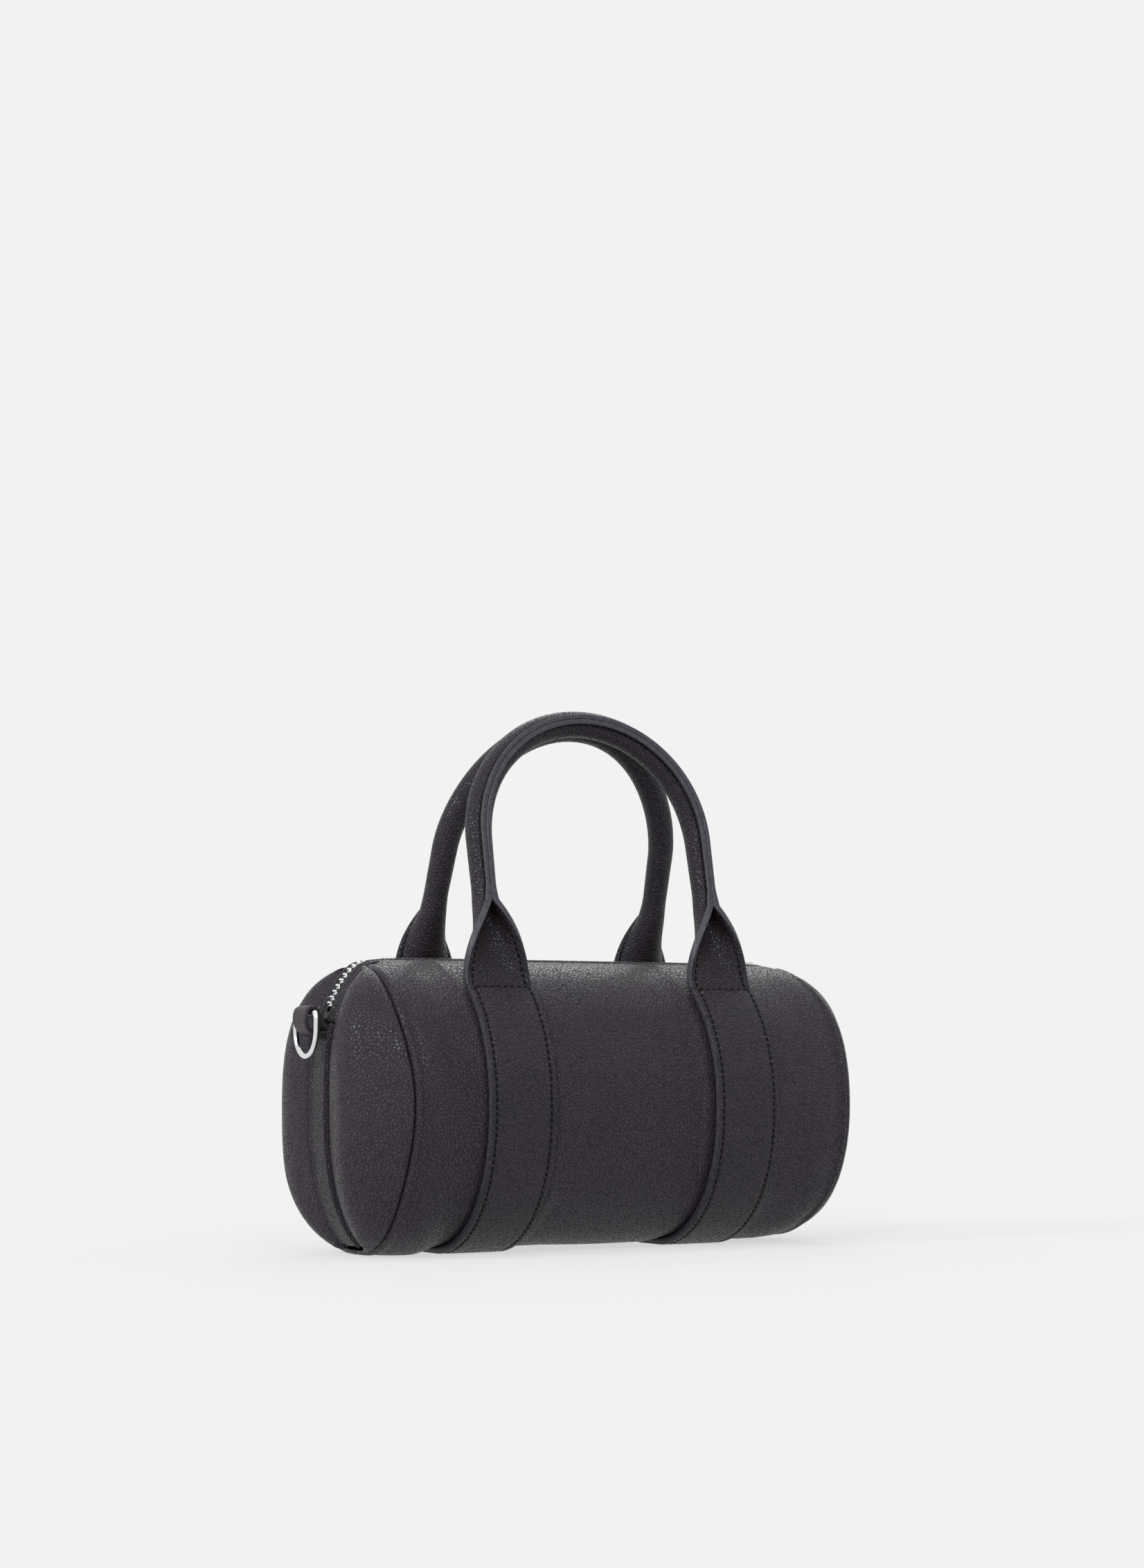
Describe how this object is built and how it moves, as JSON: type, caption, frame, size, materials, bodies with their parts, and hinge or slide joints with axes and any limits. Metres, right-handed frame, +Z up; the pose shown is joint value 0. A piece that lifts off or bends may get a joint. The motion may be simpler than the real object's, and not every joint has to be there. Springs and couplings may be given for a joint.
{
  "type": "barrel handbag",
  "caption": "Small barrel handbag with two rolled top handles on wrap-round straps, a metal zip along the top and a ring tab at each end.",
  "frame": {"origin": "bottom centre of the bounding box, on the surface that the straps rest on", "axes": "+X along the bag towards the end where the zip slider is parked, -Y towards the front, +Z up"},
  "size_m": [0.282, 0.1308, 0.2548],
  "materials": {
    "body_leather": "pebbled",
    "trim_leather": "pebbled, painted edges",
    "zip_tape": "woven",
    "zip_metal": "polished",
    "ring_metal": "plated",
    "lining_cloth": "woven",
    "board": "matt",
    "handle_cord": "laid cord"
  },
  "bodies": {
    "bag": {"front_panel": "body_leather", "back_panel": "body_leather", "left_front_end_panel": "body_leather", "left_rear_end_panel": "body_leather", "right_front_end_panel": "body_leather", "right_rear_end_panel": "body_leather", "left_end_strip": "trim_leather", "right_end_strip": "trim_leather", "front_zip_binding": "trim_leather", "rear_zip_binding": "trim_leather", "front_zip_tape": "zip_tape", "rear_zip_tape": "zip_tape", "front_zip_teeth": "zip_metal", "rear_zip_teeth": "zip_metal", "left_zip_stop": "zip_metal", "right_zip_stop": "zip_metal", "left_ring_tab": "trim_leather", "right_ring_tab": "trim_leather", "left_strap": "trim_leather", "right_strap": "trim_leather", "lining": "lining_cloth", "base_board": "board"},
    "front_handle": {"front_handle": "trim_leather", "front_handle_cord": "handle_cord"},
    "rear_handle": {"rear_handle": "trim_leather", "rear_handle_cord": "handle_cord"},
    "zip_slider": {"zip_slider": "zip_metal"},
    "zip_pull": {"zip_pull": "zip_metal"},
    "left_ring": {"left_ring": "ring_metal"},
    "right_ring": {"right_ring": "ring_metal"}
  },
  "joints": [
    {"name": "front_handle_swing", "type": "hinge", "parent": "bag", "child": "front_handle", "pos_m": [0, -0.04247, 0.12235], "axis": [1, 0, 0], "range_deg": [0, 130]},
    {"name": "rear_handle_swing", "type": "hinge", "parent": "bag", "child": "rear_handle", "pos_m": [0, 0.04247, 0.12235], "axis": [-1, 0, 0], "range_deg": [0, 130]},
    {"name": "zip_slide", "type": "slide", "parent": "bag", "child": "zip_slider", "axis": [1, 0, 0], "range_m": [-0.172, 0.012]},
    {"name": "zip_pull_swing", "type": "hinge", "parent": "zip_slider", "child": "zip_pull", "pos_m": [0.08, 0, 0.13675], "axis": [0, -1, 0], "range_deg": [0, 160]},
    {"name": "left_ring_swing", "type": "hinge", "parent": "bag", "child": "left_ring", "pos_m": [-0.1374, 0, 0.1097], "axis": [0, 1, 0], "range_deg": [-8, 175]},
    {"name": "right_ring_swing", "type": "hinge", "parent": "bag", "child": "right_ring", "pos_m": [0.1374, 0, 0.1097], "axis": [0, -1, 0], "range_deg": [-8, 175]}
  ]
}
